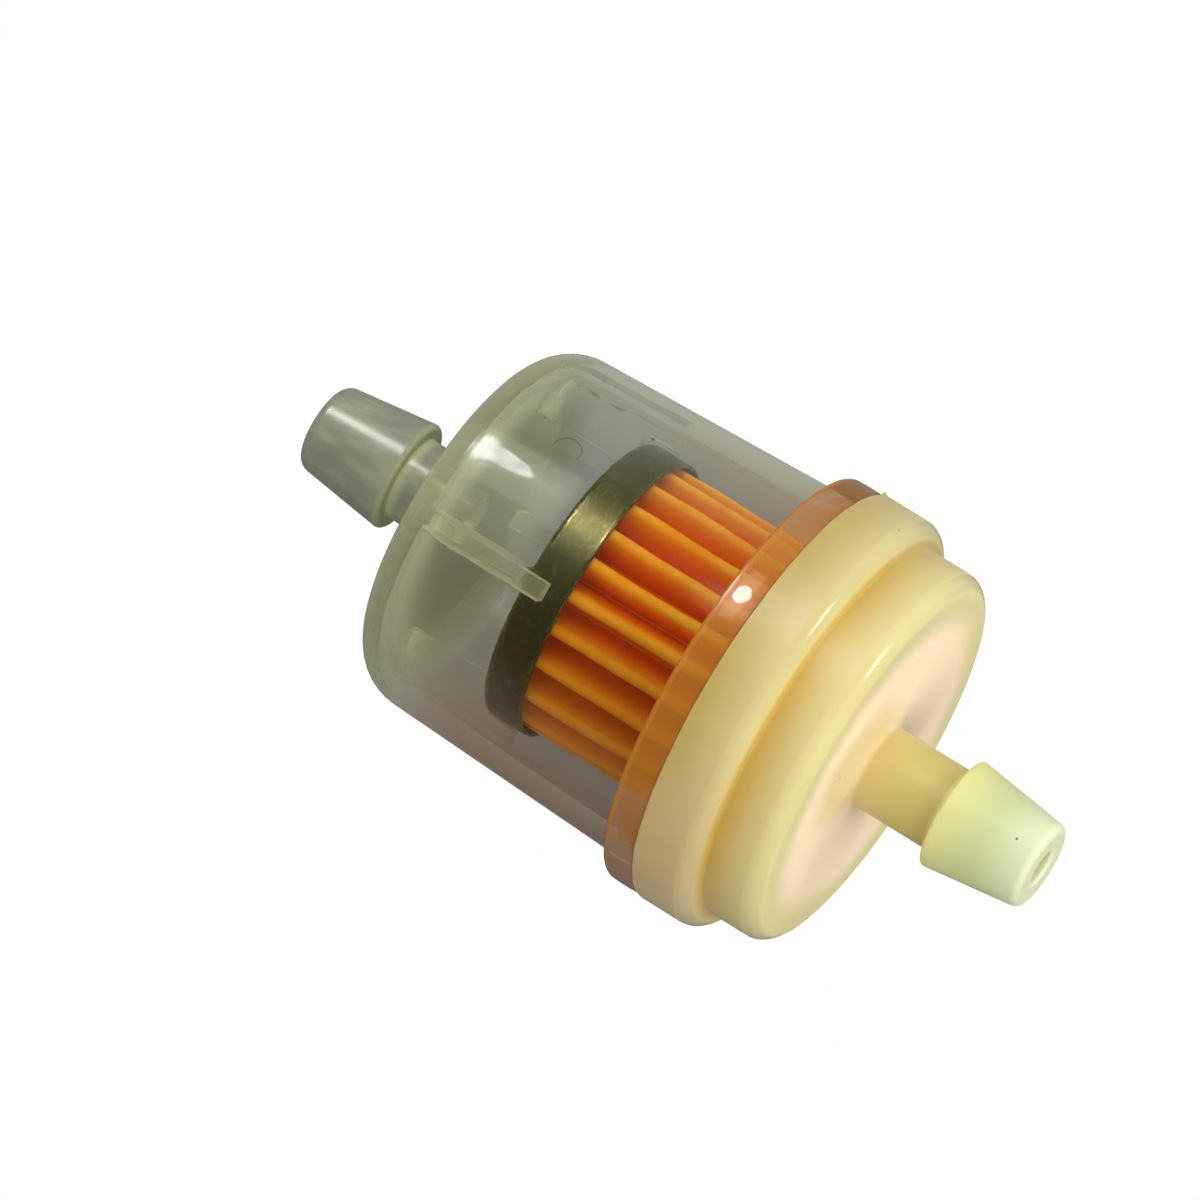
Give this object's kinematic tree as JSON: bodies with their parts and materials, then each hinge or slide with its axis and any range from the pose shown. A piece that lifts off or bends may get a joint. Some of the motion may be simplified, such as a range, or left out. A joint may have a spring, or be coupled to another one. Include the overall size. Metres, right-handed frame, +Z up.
{
  "type": "inline fuel filter",
  "caption": "Inline fuel filter: a clear smoked bowl and a cream cap, each with a barbed hose nipple, welded round a pleated paper element with a metal end cap.",
  "frame": {"origin": "on the axis, halfway between the tips of the two hose nipples", "axes": "+X along the axis in the direction of flow, towards the outlet nipple; +Z up as the filter lies"},
  "size_m": [0.056, 0.0302, 0.0302],
  "materials": {
    "clear_plastic": "clear moulded plastic with a smoky grey-green tint, glossy, with a few fine marks",
    "cream_plastic": "cream moulded plastic, satin and slightly see-through, yellower where the paper lies behind it",
    "cap_metal": "thin pressed sheet, dull yellowish plating with fine scuffs",
    "filter_paper": "resin-treated orange filter paper, paler along the folds",
    "adhesive": "cured amber adhesive"
  },
  "bodies": {
    "root": {"clear_bowl": "clear_plastic", "outlet_cap": "cream_plastic", "element_end_cap": "cap_metal", "filter_paper": "filter_paper", "end_cap_adhesive": "adhesive", "base_adhesive": "adhesive"}
  },
  "joints": []
}
